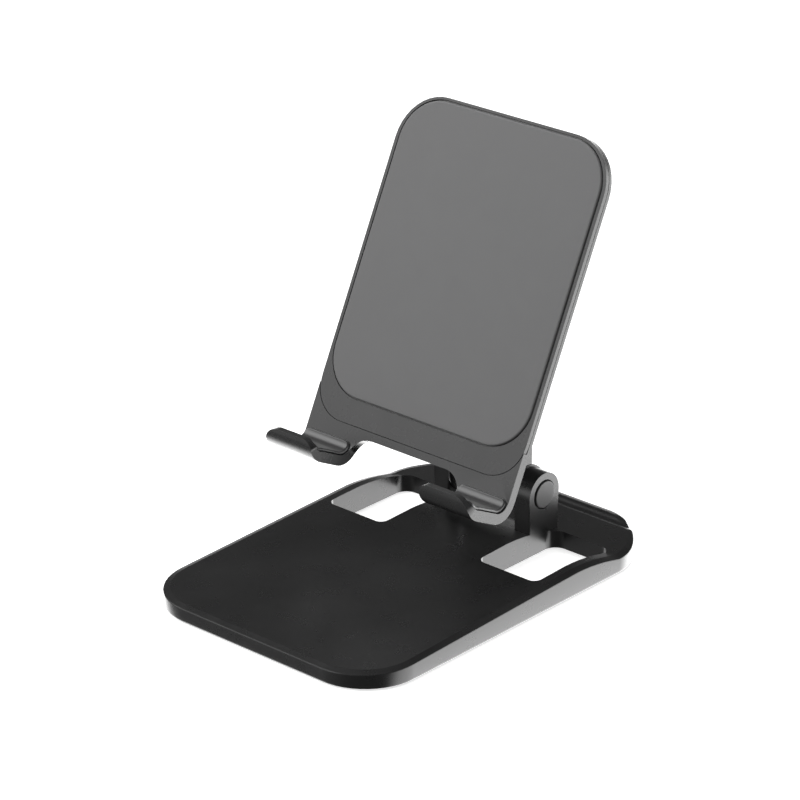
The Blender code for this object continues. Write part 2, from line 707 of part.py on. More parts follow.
def bent_point(stations, x, distance, low, high, side):
    """A point of a bent sheet: low and high are functions of the thickness, and side 0 or 1 picks one."""
    for first, second in zip(stations, stations[1:]):
        if distance <= second[0] + 1e-9:
            break
    share = (distance - first[0]) / (second[0] - first[0])
    spots = []
    for _, forward, height, heading, thickness in (first, second):
        normal = math.radians(heading + 90)
        depth = high(thickness) if side else low(thickness)
        spots.append(Vector((forward + depth * math.cos(normal), height + depth * math.sin(normal))))
    spot = spots[0].lerp(spots[1], share)
    return (x, FACE_Y - spot.x, spot.y)


def bent_sheet(name, outline, low, high):
    """A flat outline of (x, distance) points, bent along the hook's run and given a thickness."""
    stations = hook_stations()
    bm = bmesh.new()
    bm.faces.new([bm.verts.new((x, distance, 0)) for x, distance in outline])
    for distance, *_ in stations[1:-1]:
        geometry = bm.verts[:] + bm.edges[:] + bm.faces[:]
        bmesh.ops.bisect_plane(bm, geom=geometry, dist=1e-7, plane_co=(0, distance, 0), plane_no=(0, 1, 0))
    extruded = bmesh.ops.extrude_face_region(bm, geom=bm.faces[:])
    top = [g for g in extruded["geom"] if isinstance(g, bmesh.types.BMVert)]
    bmesh.ops.translate(bm, verts=top, vec=(0, 0, 1))
    for vert in bm.verts:
        x, distance, side = vert.co
        vert.co = bent_point(stations, x, distance, low, high, round(side))
    return make_object(name, bm)


def build_cradle(parent):
    """The rear plate with its two hooks, recessed for the front plate and drilled for the screws."""
    end = hook_stations()[-1][0]
    middle = PLATE_TOP - MID_BOTTOM
    outline = rounded([
        (-PLATE_HALF_WIDTH, 0.0, PLATE_CORNER),
        (PLATE_HALF_WIDTH, 0.0, PLATE_CORNER),
        (PLATE_HALF_WIDTH, end, LIP_OUTER_CORNER),
        (HOOK_INNER, end, LIP_INNER_CORNER),
        (HOOK_INNER, middle, CABLE_FILLET),
        (-HOOK_INNER, middle, CABLE_FILLET),
        (-HOOK_INNER, end, LIP_INNER_CORNER),
        (-PLATE_HALF_WIDTH, end, LIP_OUTER_CORNER),
    ])
    cradle = bent_sheet("cradle", outline, lambda thickness: 0.0, lambda thickness: thickness)
    half_width, corner = PLATE_HALF_WIDTH + RECESS_GROW, SEAM_CORNER + RECESS_GROW
    recess = rectangle(half_width, SEAM, PLATE_TOP + CUTTER_REACH, corner, MM)
    recess_floor = FACE_Y + FRONT_POCKET_DEPTH
    combine(cradle, prism("recess_cutter", recess, FACE_Y - 2 * MM, recess_floor, axis="Y"))
    for x, z in BRACKET_SCREWS:
        combine(cradle, y_cylinder("hole_cutter", SCREW_HOLE, FACE_Y, 0.0, x, z))
    finish(cradle, "plate_plastic", parent)


def build_front(parent):
    """The front plate and the silicone face pad set into it."""
    outline = rectangle(PLATE_HALF_WIDTH, SEAM + CLOSE_FIT, PLATE_TOP, SEAM_CORNER, PLATE_CORNER)
    plate = prism("front_plate", outline, FACE_Y, FACE_Y + FRONT_PLATE_THICKNESS, axis="Y")
    pocket = rectangle(PAD_HALF_WIDTH + FIT, PAD_BOTTOM - FIT, PAD_TOP + FIT, PAD_CORNER + FIT)
    combine(plate, prism("pad_cutter", pocket, FACE_Y - 2 * MM, FACE_Y + PAD_POCKET_DEPTH, axis="Y"))
    finish(plate, "plate_plastic", parent)
    pad_outline = rectangle(PAD_HALF_WIDTH, PAD_BOTTOM, PAD_TOP, PAD_CORNER)
    pad_front = FACE_Y - PAD_PROUD
    pad = prism("face_pad", pad_outline, pad_front, pad_front + PAD_THICKNESS, axis="Y")
    finish(pad, "pad_silicone", parent)


def build_linings(parent):
    """The silicone linings inside the two hooks, bent like the hooks."""
    end = hook_stations()[-1][0] - LINING_END_INSET
    start = PLATE_TOP - LINING_TOP
    inner, outer = HOOK_INNER + LINING_SIDE_INSET, PLATE_HALF_WIDTH - LINING_SIDE_INSET
    for side, name in ((-1, "hook_pad_left"), (1, "hook_pad_right")):
        outline = rounded([
            (side * inner, start, LINING_START_CORNER),
            (side * outer, start, LINING_START_CORNER),
            (side * outer, end, LINING_END_CORNER),
            (side * inner, end, LINING_END_CORNER),
        ], 15)
        lining = bent_sheet(
            name,
            outline,
            lambda thickness: thickness + LINING_GAP,
            lambda thickness: thickness + LINING_GAP + LINING_THICKNESS,
        )
        finish(lining, "lining_silicone", parent)


def build_bracket(parent):
    """The U-shaped bracket behind the plate, whose two lugs carry the upper hinge, and its four screws."""
    front = FACE_Y + PLATE_THICKNESS + FLANGE_GAP
    back = front + FLANGE_THICKNESS
    outline = rectangle(FLANGE_HALF_WIDTH, FLANGE_LOW, FLANGE_HIGH, FLANGE_CORNER)
    flange = prism("tilt_bracket", outline, front, back, axis="Y")
    notch = rectangle(NOTCH_HALF_WIDTH, FLANGE_LOW - CUTTER_REACH, NOTCH_TOP, NOTCH_CORNER)
    combine(flange, prism("notch_cutter", notch, front - MM, back + MM, axis="Y"))
    root = front + LUG_OVERLAP
    barrel = arc((0, 0), KNUCKLE_RADIUS, -90, 90, KNUCKLE_STEP)
    lug = [(root, -KNUCKLE_RADIUS)] + barrel + [(root, KNUCKLE_RADIUS)]
    for side in (-1, 1):
        ends = sorted((side * LUG_INNER, side * LUG_OUTER))
        combine(flange, prism("lug", lug, *ends, axis="X"), "UNION")
    combine(flange, stepped_bore(LUG_OUTER))
    for i, (x, z) in enumerate(BRACKET_SCREWS):
        combine(flange, y_cylinder("hole_cutter", SCREW_HOLE, front - MM, back + MM, x, z))
        place = (x, back + CLOSE_FIT, z)
        small_screw(f"bracket_screw_{i + 1}", BRACKET_SCREW_LENGTH, place, parent)
    finish(flange, "base_plastic", parent)


# ---------------------------------------------------------------- assembly


def build():
    """Clears the scene and builds every piece."""
    for old in list(bpy.data.objects):
        bpy.data.objects.remove(old, do_unlink=True)
    arm_pivot = pivot("arm_pivot", (0, HINGE_Y, HINGE_HEIGHT))
    plate_pivot = pivot("plate_pivot", (0, 0, ARM_LENGTH), TILT, arm_pivot)
    build_base()
    build_lower_hinge()
    build_arm(arm_pivot)
    build_upper_hinge(plate_pivot)
    build_bracket(plate_pivot)
    build_cradle(plate_pivot)
    build_front(plate_pivot)
    build_linings(plate_pivot)


build()
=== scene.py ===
"""The looks of the folding phone stand: finishes, fine soft pieces, studio light and camera."""

import json
import math

import bmesh
import bpy
from mathutils import Matrix, Vector
from mathutils.bvhtree import BVHTree


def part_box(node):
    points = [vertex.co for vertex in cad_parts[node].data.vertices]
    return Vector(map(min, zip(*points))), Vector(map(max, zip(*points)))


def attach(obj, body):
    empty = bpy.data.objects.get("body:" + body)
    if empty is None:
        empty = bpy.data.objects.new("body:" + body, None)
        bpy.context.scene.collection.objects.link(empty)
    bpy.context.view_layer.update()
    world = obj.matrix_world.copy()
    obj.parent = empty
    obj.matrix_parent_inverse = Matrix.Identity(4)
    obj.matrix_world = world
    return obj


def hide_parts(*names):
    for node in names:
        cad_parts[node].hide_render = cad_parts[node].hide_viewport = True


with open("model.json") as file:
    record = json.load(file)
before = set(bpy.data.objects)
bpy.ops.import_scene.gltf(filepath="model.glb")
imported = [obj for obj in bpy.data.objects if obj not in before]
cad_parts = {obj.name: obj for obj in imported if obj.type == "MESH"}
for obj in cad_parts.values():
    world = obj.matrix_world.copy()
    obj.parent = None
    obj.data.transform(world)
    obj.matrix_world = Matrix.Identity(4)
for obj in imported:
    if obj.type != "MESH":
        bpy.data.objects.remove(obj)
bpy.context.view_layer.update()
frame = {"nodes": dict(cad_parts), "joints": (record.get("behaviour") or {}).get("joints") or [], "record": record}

MM = 0.001

# Camera: from the stand's right front, a little above; angles in degrees, lens and sensor in mm
AZIMUTH = 42.02
ELEVATION = 23.35
CAMERA_TARGET = Vector((7.34, -11.31, 55.11)) * MM
CAMERA_DISTANCE = 0.9
LENS = 163.0
SENSOR = 36.0
CLIP_START = 0.01

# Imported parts: joined facets and softly broken edges
FACET_JOIN = 0.004 * MM
FLAT_ANGLE = math.radians(0.3)
EDGE_BREAK = 0.12 * MM
OWN_EDGE_BREAK = {"cradle": 0.3 * MM, "front_plate": 0.1 * MM, "tilt_bracket": 0.3 * MM}
EDGE_BREAK_SEGMENTS = 3
EDGE_BREAK_ANGLE = math.radians(30)

# All finishes: the parts of a noise's range that tone and dullness run over, and what counts as an edge
TONE_NOISE = (0.3, 0.7)
DULLNESS_NOISE = (0.3, 0.75)
EDGE_COSINES = (0.999, 0.9)
EDGE_SAMPLES = 4
BLUE_SHARE = 1.01

# Plastic: texture scales are per metre, shares multiply the tone or the roughness
CLOUD_SCALE = 45.0
SMUDGE_SCALE = 190.0
GRAIN_SCALE = 3200.0
GRAIN_HEIGHT = 0.01 * MM
GRAIN_STRENGTH = 0.1
CLOUD_SHARES = (0.85, 1.15)
SMUDGE_SHARES = (0.93, 1.08)
# Plastic edges: rubbed smoother as wear, and painted paler, partly as wear and partly as a painted highlight of
# the bright rim lines
WEAR_AND_HIGHLIGHT_EDGE = 0.35 * MM
WEAR_AND_HIGHLIGHT_WEIGHT = 0.5
WEAR_AND_HIGHLIGHT_TONE_SHARE = 2.2
WORN_ROUGHNESS_DROP = 0.06
PLASTIC_IOR = 1.5

# Silicone and rubber
PEBBLE_SCALE = 4200.0
PEBBLE_HEIGHT = 0.015 * MM
PEBBLE_STRENGTH = 0.3
SKIN_CLOUD_SCALE = 60.0
SKIN_TONE_SHARES = (0.94, 1.06)
SKIN_ROUGHNESS_SHARES = (0.95, 1.05)
RUBBED_EDGE = 0.3 * MM
RUBBED_WEIGHT = 0.35
RUBBED_TONE_SHARE = 1.5
SHEEN = 0.12
SHEEN_ROUGHNESS = 0.6

# Steel
TURNED_MARKS = (9000.0, 300.0, 300.0)
ROLLED_MARKS = (300.0, 9000.0, 300.0)
MARK_HEIGHT = 0.006 * MM
MARK_STRENGTH = 0.25
STEEL_CLOUD_SCALE = 400.0
STEEL_TONE_SHARES = (0.9, 1.08)
STEEL_ROUGHNESS_SHARES = (0.85, 1.2)

# Soft pieces: counts are the grid's cells across and along
VERTEX_JOIN = 0.0005 * MM
TOP_EDGE_REACH = 0.01 * MM
PAD_COUNTS = (72, 96)
LINING_COUNTS = (36, 110)
LINING_STEPS = 120
SMOOTHING_PASSES = 3
CORNER_CUT = 0.25
CUT_TOLERANCE = 1e-8
PAD_EDGE = 0.45 * MM
LINING_EDGE = 0.35 * MM
LINING_CORNER = 1.5 * MM
EDGE_SHARE = 0.3
MAT_EDGE = 0.25 * MM
MAT_EDGE_ANGLE = 0.5
STUD_HEIGHT = 0.15 * MM
STUD_RADIUS = 0.75 * MM
STUD_PITCH = 3.2 * MM
STUD_CLEARANCE = 1.6 * MM
STUD_PROBES = 8
STUD_SIDES = 14
# From root to tip: share of the stud's radius, share of its height
STUD_PROFILE = [(1.0, 1.6), (1.0, 1.0), (0.9, 0.45), (0.6, 0.1)]

# Cross recess of the small screws
RECESS_LENGTH = 1.9 * MM
RECESS_WIDTH = 0.42 * MM
RECESS_DEPTH = 0.4 * MM
RECESS_TAPER = 0.55
SCREW_SHARP_ANGLE = math.radians(35)

# What glossy surfaces reflect: direction, strength's full and outer half-angles in degrees, strength
GLOSS_LIGHTS = [
    ((0.61, 0.68, -0.40), 25, 50, 4.2),
    ((-0.10, 0.90, -0.43), 20, 40, 3.5),
    ((-0.61, 0.74, -0.27), 10, 26, 1.5),
    ((-0.61, 0.31, -0.73), 19, 43, 4.5),
    ((-0.61, -0.68, -0.40), 20, 50, 0.15),
    ((-0.61, -0.70, 0.36), 22, 48, 1.5),
    ((-0.61, -0.37, 0.68), 12, 30, 3.6),
]
GLOSS_BASE = 0.12
AMBIENT = 0.45
BACKDROP = 1.0

# Area lights: name, place and side in metres, power in watts
AREA_LIGHTS = [
    ("key", (-0.17, -0.30, 0.40), 0.3, 1.75),
    ("top", (0.1, 0.2, 1.1), 0.8, 5.0),
]
LIGHT_AIM = Vector((0, 0, 50)) * MM

FLOOR_HALF_SIDE = 3.0
FLOOR_DROP = 0.02 * MM
FLOOR_TONE = 0.93
FLOOR_GLOW = 0.6


# ---------------------------------------------------------------- node helpers


class Shader:
    """A small builder for a material's or the world's node tree."""

    def __init__(self, tree):
        self.tree = tree
        self.tree.nodes.clear()

    def node(self, kind, inputs=None, **settings):
        made = self.tree.nodes.new(kind)
        for name, value in settings.items():
            setattr(made, name, value)
        for name, value in (inputs or {}).items():
            self.put(made.inputs[name], value)
        return made

    def put(self, socket, value):
        if isinstance(value, bpy.types.NodeSocket):
            self.tree.links.new(value, socket)
        else:
            socket.default_value = value

    def math(self, operation, a, b):
        made = self.node("ShaderNodeMath", operation=operation)
        self.put(made.inputs[0], a)
        self.put(made.inputs[1], b)
        return made.outputs[0]

    def dot(self, vector, direction):
        made = self.node("ShaderNodeVectorMath", operation="DOT_PRODUCT")
        self.put(made.inputs[0], vector)
        made.inputs[1].default_value = direction
        return made.outputs["Value"]

    def ramp(self, value, low, high, out_low=0.0, out_high=1.0):
        inputs = {"Value": value, "From Min": low, "From Max": high, "To Min": out_low, "To Max": out_high}
        made = self.node("ShaderNodeMapRange", inputs, interpolation_type="SMOOTHSTEP")
        return made.outputs[0]

    def noise(self, vector, scale, detail):
        made = self.node("ShaderNodeTexNoise", {"Vector": vector, "Scale": scale, "Detail": detail})
        return made.outputs[0]

    def mix(self, factor, a, b):
        made = self.node("ShaderNodeMix", data_type="RGBA")
        self.put(made.inputs["Factor"], factor)
        self.put(made.inputs[6], a)
        self.put(made.inputs[7], b)
        return made.outputs[2]

    def position(self, stretch=(1, 1, 1)):
        place = self.node("ShaderNodeTexCoord").outputs["Object"]
        if stretch == (1, 1, 1):
            return place
        return self.node("ShaderNodeMapping", {"Vector": place, "Scale": stretch}).outputs[0]

    def edges(self, radius):
        """1 near an edge and 0 on a flat or gently curved surface."""
        rounded = self.node("ShaderNodeBevel", {"Radius": radius}, samples=EDGE_SAMPLES).outputs[0]
        plain = self.node("ShaderNodeNewGeometry").outputs["Normal"]
        made = self.node("ShaderNodeVectorMath", operation="DOT_PRODUCT")
        self.put(made.inputs[0], rounded)
        self.put(made.inputs[1], plain)
        return self.ramp(made.outputs["Value"], *EDGE_COSINES)


def grey(value):
    """A grey with the least touch of blue."""
    return (value, value, value * BLUE_SHARE, 1.0)


def new_material(name):
    """An empty material and the builder of its nodes."""
    made = bpy.data.materials.new(name)
    made.use_nodes = True
    return made, Shader(made.node_tree)


def moulded_plastic(name, tone, roughness):
    """Moulded plastic: cloudy tone, fine spark-eroded grain, faint smudges, and edges rubbed smoother and painted
    paler; the paler edges are partly wear and partly a painted highlight of the bright rim lines.
    """
    made, s = new_material(name)
    place = s.position()
    cloud = s.noise(place, CLOUD_SCALE, 3.0)
    grain = s.noise(place, GRAIN_SCALE, 1.0)
    smudge = s.noise(place, SMUDGE_SCALE, 4.0)
    edge = s.math("MULTIPLY", s.edges(WEAR_AND_HIGHLIGHT_EDGE), WEAR_AND_HIGHLIGHT_WEIGHT)
    dark, pale = [grey(tone * share) for share in CLOUD_SHARES]
    colour = s.mix(s.ramp(cloud, *TONE_NOISE), dark, pale)
    # Paler edges: partly wear, partly a painted highlight
    colour = s.mix(edge, colour, grey(tone * WEAR_AND_HIGHLIGHT_TONE_SHARE))
    smooth, dull = [roughness * share for share in SMUDGE_SHARES]
    rough = s.ramp(smudge, *DULLNESS_NOISE, smooth, dull)
    rough = s.math("SUBTRACT", rough, s.math("MULTIPLY", edge, WORN_ROUGHNESS_DROP))
    bump = s.node("ShaderNodeBump", {"Height": grain, "Strength": GRAIN_STRENGTH, "Distance": GRAIN_HEIGHT})
    surface = s.node("ShaderNodeBsdfPrincipled", {
        "Base Color": colour,
        "Roughness": rough,
        "IOR": PLASTIC_IOR,
        "Normal": bump.outputs[0],
    })
    s.node("ShaderNodeOutputMaterial", {"Surface": surface.outputs[0]})
    return made


def silicone(name, tone, roughness):
    """Soft matte silicone: a fine pebbled skin, a faint dusty sheen, and paler rubbed edges."""
    made, s = new_material(name)
    place = s.position()
    pebble = s.node("ShaderNodeTexVoronoi", {"Vector": place, "Scale": PEBBLE_SCALE}).outputs["Distance"]
    cloud = s.noise(place, SKIN_CLOUD_SCALE, 3.0)
    edge = s.math("MULTIPLY", s.edges(RUBBED_EDGE), RUBBED_WEIGHT)
    dark, pale = [grey(tone * share) for share in SKIN_TONE_SHARES]
    colour = s.mix(s.ramp(cloud, *TONE_NOISE), dark, pale)
    colour = s.mix(edge, colour, grey(tone * RUBBED_TONE_SHARE))
    smooth, dull = [roughness * share for share in SKIN_ROUGHNESS_SHARES]
    skin = {"Height": pebble, "Strength": PEBBLE_STRENGTH, "Distance": PEBBLE_HEIGHT}
    bump = s.node("ShaderNodeBump", skin)
    surface = s.node("ShaderNodeBsdfPrincipled", {
        "Base Color": colour,
        "Roughness": s.ramp(cloud, *TONE_NOISE, smooth, dull),
        "Sheen Weight": SHEEN,
        "Sheen Roughness": SHEEN_ROUGHNESS,
        "Normal": bump.outputs[0],
    })
    s.node("ShaderNodeOutputMaterial", {"Surface": surface.outputs[0]})
    return made


def marked_steel(name, tone, roughness, marks_scale):
    """Steel with fine marks across the axis of the largest scale, and a cloudy tone and dullness."""
    made, s = new_material(name)
    marks = s.noise(s.position(marks_scale), 1.0, 2.0)
    cloud = s.noise(s.position(), STEEL_CLOUD_SCALE, 3.0)
    dark, pale = [grey(tone * share) for share in STEEL_TONE_SHARES]
    colour = s.mix(s.ramp(cloud, *TONE_NOISE), dark, pale)
    smooth, dull = [roughness * share for share in STEEL_ROUGHNESS_SHARES]
    bump = s.node("ShaderNodeBump", {"Height": marks, "Strength": MARK_STRENGTH, "Distance": MARK_HEIGHT})
    surface = s.node("ShaderNodeBsdfPrincipled", {
        "Base Color": colour,
        "Metallic": 1.0,
        "Roughness": s.ramp(cloud, *DULLNESS_NOISE, smooth, dull),
        "Normal": bump.outputs[0],
    })
    s.node("ShaderNodeOutputMaterial", {"Surface": surface.outputs[0]})
    return made


def make_finishes():
    """A finish for each material slot of the record, and a duller one for the pivot caps."""
    return {
        "black_plastic": moulded_plastic("black_plastic", 0.013, 0.29),
        "cap_plastic": moulded_plastic("cap_plastic", 0.013, 0.46),
        "grey_plastic": moulded_plastic("grey_plastic", 0.02, 0.27),
        "pad_silicone": silicone("pad_silicone", 0.08, 0.5),
        "lining_silicone": silicone("lining_silicone", 0.022, 0.3),
        "mat_rubber": silicone("mat_rubber", 0.022, 0.8),
        "steel": marked_steel("steel", 0.6, 0.22, TURNED_MARKS),
        "weight_steel": marked_steel("weight_steel", 0.42, 0.4, ROLLED_MARKS),
        "washer_nylon": moulded_plastic("washer_nylon", 0.03, 0.4),
    }


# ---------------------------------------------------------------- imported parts


def smoothing_group():
    """A node group that joins the facets' corners and shades the surface smooth."""
    group = bpy.data.node_groups.new("join_and_smooth", "GeometryNodeTree")
    group.interface.new_socket("Geometry", in_out="INPUT", socket_type="NodeSocketGeometry")
    group.interface.new_socket("Geometry", in_out="OUTPUT", socket_type="NodeSocketGeometry")
    start = group.nodes.new("NodeGroupInput")
    merge = group.nodes.new("GeometryNodeMergeByDistance")
    merge.inputs["Distance"].default_value = FACET_JOIN
    smooth = group.nodes.new("GeometryNodeSetShadeSmooth")
    end = group.nodes.new("NodeGroupOutput")
    group.links.new(start.outputs[0], merge.inputs["Geometry"])
    group.links.new(merge.outputs[0], smooth.inputs["Geometry"])
    group.links.new(smooth.outputs[0], end.inputs[0])
    return group


def dress_nodes(finishes):
    """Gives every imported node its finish, joined facets and softly broken edges."""
    group = smoothing_group()
    slots = {part["node"]: part["material_slot"] for part in frame["record"]["subparts"]}
    for name, node in frame["nodes"].items():
        node.data.materials.clear()
        node.data.materials.append(finishes["cap_plastic" if "_cap" in name else slots[name]])
        join = node.modifiers.new("Join", "NODES")
        join.node_group = group
        flat = node.modifiers.new("Flat", "DECIMATE")
        flat.decimate_type = "DISSOLVE"
        flat.angle_limit = FLAT_ANGLE
        edge = node.modifiers.new("Edge", "BEVEL")
        edge.width = OWN_EDGE_BREAK.get(name, EDGE_BREAK)
        edge.segments = EDGE_BREAK_SEGMENTS
        edge.limit_method = "ANGLE"
        edge.angle_limit = EDGE_BREAK_ANGLE
        normals = node.modifiers.new("Normals", "WEIGHTED_NORMAL")
        normals.keep_sharp = False


# ---------------------------------------------------------------- soft pieces


def plate_space():
    """The plate's own frame: origin on the tilt axis, -Y out of the pad's face, +Z up along the plate."""
    pad = frame["nodes"]["face_pad"].data
    face = max((f for f in pad.polygons if f.normal.y < 0), key=lambda f: f.area)
    out = -face.normal
    across = Vector((1, 0, 0))
    turn = Matrix((across, out, across.cross(out))).transposed().to_4x4()
    tilt = next(joint for joint in frame["joints"] if joint["child"] == "plate")
    return Matrix.Translation(tilt["pos_m"]) @ turn


def local_points(node, space):
    """A node's vertices in some frame."""
    back = space.inverted()
    return [back @ v.co for v in frame["nodes"][node].data.vertices]


def joined_facets(node):
    """A bmesh of a node's surface with the facets' corners joined."""
    bm = bmesh.new()
    bm.from_mesh(frame["nodes"][node].data)
    bmesh.ops.remove_doubles(bm, verts=bm.verts, dist=FACET_JOIN)
    return bm


def new_piece(name, bm, finish, slot, body, *nodes):
    """A piece from a bmesh, in world places, that rides on a body and stands for some nodes."""
    bmesh.ops.remove_doubles(bm, verts=bm.verts, dist=VERTEX_JOIN)
    bmesh.ops.recalc_face_normals(bm, faces=bm.faces)
    mesh = bpy.data.meshes.new(name)
    bm.to_mesh(mesh)
    bm.free()
    mesh.shade_smooth()
    mesh.materials.append(finish)
    piece = bpy.data.objects.new(name, mesh)
    bpy.context.scene.collection.objects.link(piece)
    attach(piece, body)
    for node in nodes:
        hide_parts(node)
    return piece


def eased(count):
    """Values from -1 to 1 that crowd towards both ends."""
    return [math.sin(math.pi / 2 * (2 * i / count - 1)) for i in range(count + 1)]


def edge_distance(x, y, half_x, half_y, corner):
    """How far a point is inside a rounded rectangle centred on the origin."""
    over_x, over_y = abs(x) - (half_x - corner), abs(y) - (half_y - corner)
    outside = math.hypot(max(over_x, 0.0), max(over_y, 0.0))
    return corner - outside - min(max(over_x, over_y), 0.0)


def round_over(distance, radius):
    """The height share of a rounded edge: EDGE_SHARE at the very edge, 1 from radius inwards."""
    inside = min(max(distance / radius, 0.0), 1.0)
    return EDGE_SHARE + (1 - EDGE_SHARE) * math.sqrt(1 - (1 - inside) ** 2)


def soft_sheet(half_x, half_y, corner, edge, counts, place):
    """A closed sheet over a rounded rectangle: place(x, y, share) is a point, share 0 on the lower face."""
    bm = bmesh.new()
    layers = []
    for upper in (True, False):
        rows = []
        for v in eased(counts[1]):
            y = v * half_y
            over = max(abs(y) - (half_y - corner), 0.0)
            reach = half_x - corner + math.sqrt(max(corner ** 2 - over ** 2, 0.0))
            row = []
            for u in eased(counts[0]):
                x = u * reach
                inside = edge_distance(x, y, half_x, half_y, corner)
                share = round_over(inside, edge) if upper else 0.0
                row.append(bm.verts.new(place(x, y, share)))
            rows.append(row)
        layers.append(rows)
    for rows in layers:
        for low, high in zip(rows, rows[1:]):
            for i in range(counts[0]):
                bm.faces.new((low[i], low[i + 1], high[i + 1], high[i]))
    upper, lower = layers
    rims = []
    for rows in layers:
        right = [row[-1] for row in rows[1:]]
        left = [row[0] for row in rows[-2:0:-1]]
        rims.append(rows[0] + right + rows[-1][-2::-1] + left)
    for i in range(len(rims[0])):
        j = (i + 1) % len(rims[0])
        bm.faces.new((rims[0][i], rims[0][j], rims[1][j], rims[1][i]))
    return bm


def build_face_pad(finishes):
    """The silicone face pad, with a rounded edge that leaves a fine groove to the plate."""
    space = plate_space()
    points = local_points("face_pad", space)
    low = [min(p[i] for p in points) for i in range(3)]
    high = [max(p[i] for p in points) for i in range(3)]
    half_x, half_z = (high[0] - low[0]) / 2, (high[2] - low[2]) / 2
    middle = (high[2] + low[2]) / 2
    corner = half_x - max(abs(p.x) for p in points if high[2] - p.z < TOP_EDGE_REACH)

    def place(x, z, share):
        return space @ Vector((x, high[1] + (low[1] - high[1]) * share, middle + z))

    bm = soft_sheet(half_x, half_z, corner, PAD_EDGE, PAD_COUNTS, place)
    new_piece("soft_face_pad", bm, finishes["pad_silicone"], "pad_silicone", "plate", "face_pad")


def section(node, space, x):
    """A node's outline where a plane of constant x cuts it, in order, as (y, z) points of the frame."""
    bm = joined_facets(node)
    bmesh.ops.transform(bm, matrix=space.inverted(), verts=bm.verts)
    everything = bm.verts[:] + bm.edges[:] + bm.faces[:]
    plane = {"plane_co": (x, 0, 0), "plane_no": (1, 0, 0)}
    result = bmesh.ops.bisect_plane(bm, geom=everything, dist=CUT_TOLERANCE, **plane)
    cut = result["geom_cut"]
    verts = {v for v in cut if isinstance(v, bmesh.types.BMVert)}
    edges = {e for e in cut if isinstance(e, bmesh.types.BMEdge)}
    start = min(verts, key=lambda v: (v.co.z, v.co.y))
    loop, here, last = [], start, None
    while here is not None and (not loop or here is not start):
        loop.append(Vector((here.co.y, here.co.z)))
        ahead = [e for e in here.link_edges if e in edges and e is not last]
        last = ahead[0] if ahead else None
        here = last.other_vert(here) if last else None
    bm.free()
    return loop


def long_runs(loop):
    """The two long sides of a bent strip's section, in the same direction, the inner one first."""
    def turn(i):
        before, after = loop[i] - loop[i - 1], loop[(i + 1) % len(loop)] - loop[i]
        return before.angle(after, 0.0)

    ends = sorted(sorted(range(len(loop)), key=turn)[-4:])
    runs = []
    for first, second in zip(ends, ends[1:] + [ends[0] + len(loop)]):
        runs.append([loop[i % len(loop)] for i in range(first, second + 1)])
    runs.sort(key=run_length)
    inner, outer = runs[2], runs[3]
    if inner[0].y < inner[-1].y:
        inner.reverse()
    if (outer[0] - inner[0]).length > (outer[-1] - inner[0]).length:
        outer.reverse()
    return inner, outer


def run_length(run):
    """The length of a run of points."""
    return sum((b - a).length for a, b in zip(run, run[1:]))


def smooth_run(run):
    """The run with its corners cut until it is a smooth curve, its ends kept."""
    for _ in range(SMOOTHING_PASSES):
        cut = [run[0]]
        for a, b in zip(run, run[1:]):
            cut += [a.lerp(b, CORNER_CUT), a.lerp(b, 1 - CORNER_CUT)]
        run = cut + [run[-1]]
    return run


def at_share(run, share):
    """The point of a run at a share of its length."""
    left = share * run_length(run)
    for a, b in zip(run, run[1:]):
        step = (b - a).length
        if left <= step:
            return a.lerp(b, left / step if step else 0.0)
        left -= step
    return run[-1]


def build_hook_lining(side, finishes):
    """One hook's silicone lining: a soft sheet laid along the hook's trough."""
    node = f"hook_pad_{side}"
    space = plate_space()
    points = local_points(node, space)
    low, high = min(p.x for p in points), max(p.x for p in points)
    centre, half_x = (low + high) / 2, (high - low) / 2
    inner, outer = [smooth_run(run) for run in long_runs(section(node, space, centre))]
    half_run = run_length(inner) / 2
    inner_points = [at_share(inner, i / LINING_STEPS) for i in range(LINING_STEPS + 1)]
    outer_points = [at_share(outer, i / LINING_STEPS) for i in range(LINING_STEPS + 1)]

    def sample(run, share):
        spot = share * LINING_STEPS
        i = min(int(spot), LINING_STEPS - 1)
        return run[i].lerp(run[i + 1], spot - i)

    def place(x, y, share):
        along = (y / half_run + 1) / 2
        spot = sample(outer_points, along).lerp(sample(inner_points, along), share)
        return space @ Vector((centre + x, spot.x, spot.y))

    bm = soft_sheet(half_x, half_run, LINING_CORNER, LINING_EDGE, LINING_COUNTS, place)
    new_piece(f"soft_lining_{side}", bm, finishes["lining_silicone"], "lining_silicone", "plate", node)


def build_mat(finishes):
    """The rubber mat under the base: softly edged, with small round studs that grip the table."""
    low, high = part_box("base_mat")
    middle = (low.z + high.z) / 2
    bm = joined_facets("base_mat")
    tree = BVHTree.FromBMesh(bm)
    for v in bm.verts:
        if v.co.z < middle:
            v.co.z = low.z + STUD_HEIGHT
    lower = [e for e in bm.edges if all(v.co.z < middle for v in e.verts)]
    rims = [e for e in lower if e.calc_face_angle(0) > MAT_EDGE_ANGLE]
    bmesh.ops.bevel(bm, geom=rims, offset=MAT_EDGE, segments=EDGE_BREAK_SEGMENTS, profile=0.5, affect="EDGES")
    new_piece("soft_mat", bm, finishes["mat_rubber"], "mat_rubber", "base", "base_mat")
    studs = bmesh.new()
    rows = int((high.y - low.y) / STUD_PITCH)
    columns = int((high.x - low.x) / STUD_PITCH)
    for row in range(rows + 1):
        for column in range(columns + 1):
            x = (column - columns / 2) * STUD_PITCH
            y = (low.y + high.y) / 2 + (row - rows / 2) * STUD_PITCH
            if stud_fits(tree, x, y, low.z):
                add_stud(studs, x, y, low.z)
    new_piece("mat_studs", studs, finishes["mat_rubber"], "mat_rubber", "base")


def stud_fits(tree, x, y, bottom):
    """Whether the mat lies over a stud's place and a little round it."""
    for step in range(STUD_PROBES):
        angle = 2 * math.pi * step / STUD_PROBES
        spot = (x + STUD_CLEARANCE * math.cos(angle), y + STUD_CLEARANCE * math.sin(angle), bottom - MM)
        if tree.ray_cast(spot, (0, 0, 1))[0] is None:
            return False
    return True


